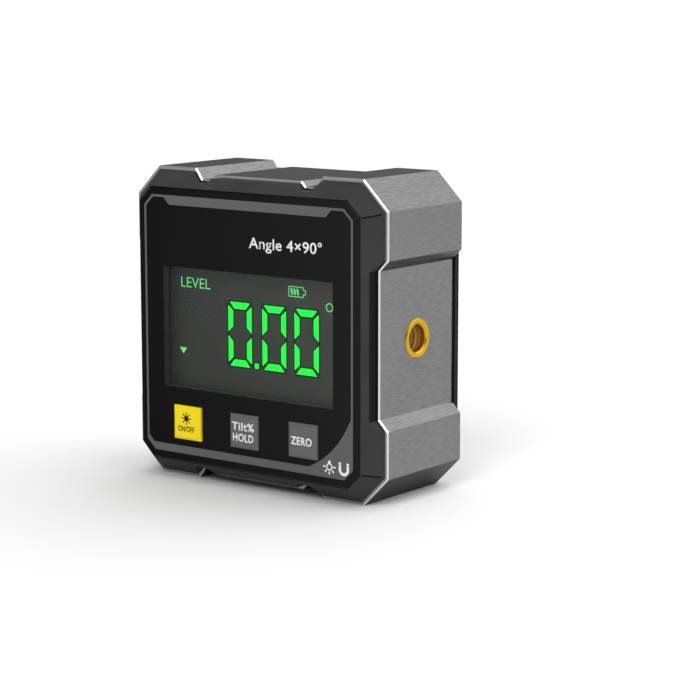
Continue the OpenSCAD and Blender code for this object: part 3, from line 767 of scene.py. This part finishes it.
def key_legends():
    """Words and signs on the three keys, placed from each key's middle."""
    x, z = key_centre("power")
    upper = sun_sign(x - 0.05, z + 0.9)
    lower = lettering("ON/OFF", 1.1, x - 0.12, z - 1.15, wide=0.72, thick=0.018)
    legend("power", [upper, lower], BLACK_PRINT_AND_PAINTED_SHADE)
    x, z = key_centre("hold")
    upper = lettering("Tilt%", 1.6, x - 0.05, z + 0.98, wide=1.13, thick=0.026)
    lower = lettering("HOLD", 1.55, x, z - 1.15, wide=0.85, thick=0.028)
    legend("hold", [upper, lower], PRINT_WHITE)
    x, z = key_centre("zero")
    word = lettering("ZERO", 1.55, x - 0.15, z - 0.05, wide=0.88, thick=0.028)
    legend("zero", [word], PRINT_WHITE)


key_legends()

# Thread in the insert's bore: its ridge reaches in from a root that is sunk a little into the wall
BORE_RADIUS = 2.55 * MM
THREAD_PITCH, THREAD_HEIGHT, THREAD_ROOT = 1.0 * MM, 0.1 * MM, 0.02 * MM
FLANK, CREST = 0.30 * MM, 0.05 * MM
THREAD_IN = 1.7 * MM
THREAD_TURNS, TURN_STEPS = 3, 48


def insert_thread():
    """Ridge of the thread on the wall of the insert's bore."""
    low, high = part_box("side_insert")
    x = high.x - THREAD_IN
    y, z = (low.y + high.y) / 2, (low.z + high.z) / 2
    root, crest = z + BORE_RADIUS + THREAD_ROOT, z + BORE_RADIUS - THREAD_HEIGHT
    ridge = ((FLANK, root), (CREST, crest), (-CREST, crest), (-FLANK, root))
    bm = bmesh.new()
    corners = [bm.verts.new((x + along, y, up)) for along, up in ridge]
    edges = closed_loop(bm, corners)
    bmesh.ops.spin(
        bm, geom=corners + edges, cent=(x, y, z), axis=(1, 0, 0), dvec=(-THREAD_PITCH / TURN_STEPS, 0, 0),
        angle=math.tau * THREAD_TURNS, steps=TURN_STEPS * THREAD_TURNS,
        use_merge=False, use_duplicate=False)
    bmesh.ops.holes_fill(bm, edges=bm.edges, sides=len(ridge))
    bmesh.ops.recalc_face_normals(bm, faces=bm.faces)
    return bm


piece("insert_thread", insert_thread(), BRASS, "case")

# Painted shade along the creases of the bezel: where they leave its rim round the panel, and where they
# end at the frame
RIM_OUT, RIM_BACK, RIM_CUT = 0.16 * MM, 0.3 * MM, 2.95 * MM
BEZEL_CUT = 5.19 * MM
CREASE_W, CREASE_T = 0.3 * MM, 0.03 * MM
CREASE_FROM, CREASE_TO = 0.02, 0.85

# Dark sheets of painted shade in the side recesses: depth of a recess, and size of a sheet
RECESS_IN = 2.57 * MM
SHADE_SHEET_HALF, SHADE_SHEET_DEPTH, SHADE_SHEET_T = 13.7 * MM, 2.3 * MM, 0.02 * MM


def painted_crease_shade():
    """Painted shade: dark lines where the bezel's side bands meet its corner bands."""
    low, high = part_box("front_panel")
    rim = Vector((high.x + RIM_OUT, low.y + RIM_BACK, high.z + RIM_OUT - RIM_CUT))
    low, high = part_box("front_bezel")
    end = Vector((high.x, FRAME_Y, high.z - BEZEL_CUT))
    lift, width = Vector((LIFT, -LIFT, 0)), Vector((0, 0, CREASE_W))
    near, far = rim.lerp(end, CREASE_FROM) + lift, rim.lerp(end, CREASE_TO) + lift
    bm = bmesh.new()
    for side in (-1, 1):
        for turned in (-1, 1):
            bm.faces.new([
                bm.verts.new((side * point.x, point.y, MID_Z + turned * (point.z - MID_Z)))
                for point in (near, far, far - width, near - width)])
    extrude(bm, bm.faces, (0, CREASE_T, 0))
    return bm


def painted_recess_shade():
    """Painted shade: dark sheets on the bezel's walls in the two side recesses."""
    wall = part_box("frame")[1].x - RECESS_IN + LIFT
    outline = rectangle(FRAME_Y - SHADE_SHEET_DEPTH, MID_Z - SHADE_SHEET_HALF, FRAME_Y, MID_Z + SHADE_SHEET_HALF)
    bm = bmesh.new()
    for side in (-1, 1):
        face = bm.faces.new([bm.verts.new((side * wall, y, z)) for y, z in outline])
        extrude(bm, [face], (-side * SHADE_SHEET_T, 0, 0))
    return bm


# dark lines of painted shade along the bezel's creases
piece("painted_crease_shade", painted_crease_shade(), BLACK_PRINT_AND_PAINTED_SHADE, "case")
# dark sheets of painted shade on the walls of the side recesses
piece("painted_recess_shade", painted_recess_shade(), BLACK_PRINT_AND_PAINTED_SHADE, "case")

# Floor, world and lamp
FLOOR_RADIUS, FLOOR_DROP = 20.0, 0.02 * MM
SKY_STRENGTH, SKY_LIGHT = 1.7, (0.3, 0.55, 0.78)
LAMP_ENERGY, LAMP_ANGLE = 1.25, math.radians(30)
LAMP_AIM = Vector((-0.25, 0.7, -0.65))


def make_floor():
    """Pale plain floor."""
    s = Shader("pale_floor")
    tone = s.mix(s.noise(20), (0.88, 0.88, 0.88), (0.90, 0.90, 0.90))
    pale = s.surface(Base_Color=tone, Roughness=0.9, Specular_IOR_Level=0.1)
    bm = bmesh.new()
    bmesh.ops.create_circle(bm, cap_ends=True, radius=FLOOR_RADIUS, segments=96)
    floor = mesh_object("floor", bm, pale)
    floor.location.z = -FLOOR_DROP


def make_world():
    """A large soft light up behind the right side, over darker walls."""
    world = bpy.data.worlds.new("studio")
    bpy.context.scene.world = world
    s = Shader("studio", world, "ShaderNodeOutputWorld")
    x, y, z = s.axes("Generated")
    right, rear, up = SKY_LIGHT
    towards = (x * right) + (y * rear) + (z * up)
    colour = s.mix(towards.step(0.3, 0.95), (0.165, 0.165, 0.165), (1.0, 1.0, 1.0))
    s.close(s.node("ShaderNodeBackground", {}, {"Color": colour, "Strength": SKY_STRENGTH}))


def make_lamp():
    """Soft key light from the front right, above."""
    light = bpy.data.lights.new("key_lamp", "SUN")
    light.energy = LAMP_ENERGY
    light.angle = LAMP_ANGLE
    lamp = add_object("key_lamp", light)
    lamp.rotation_euler = LAMP_AIM.to_track_quat("-Z", "Y").to_euler()


make_floor()
make_world()
make_lamp()
bpy.context.scene.view_settings.view_transform = "Standard"
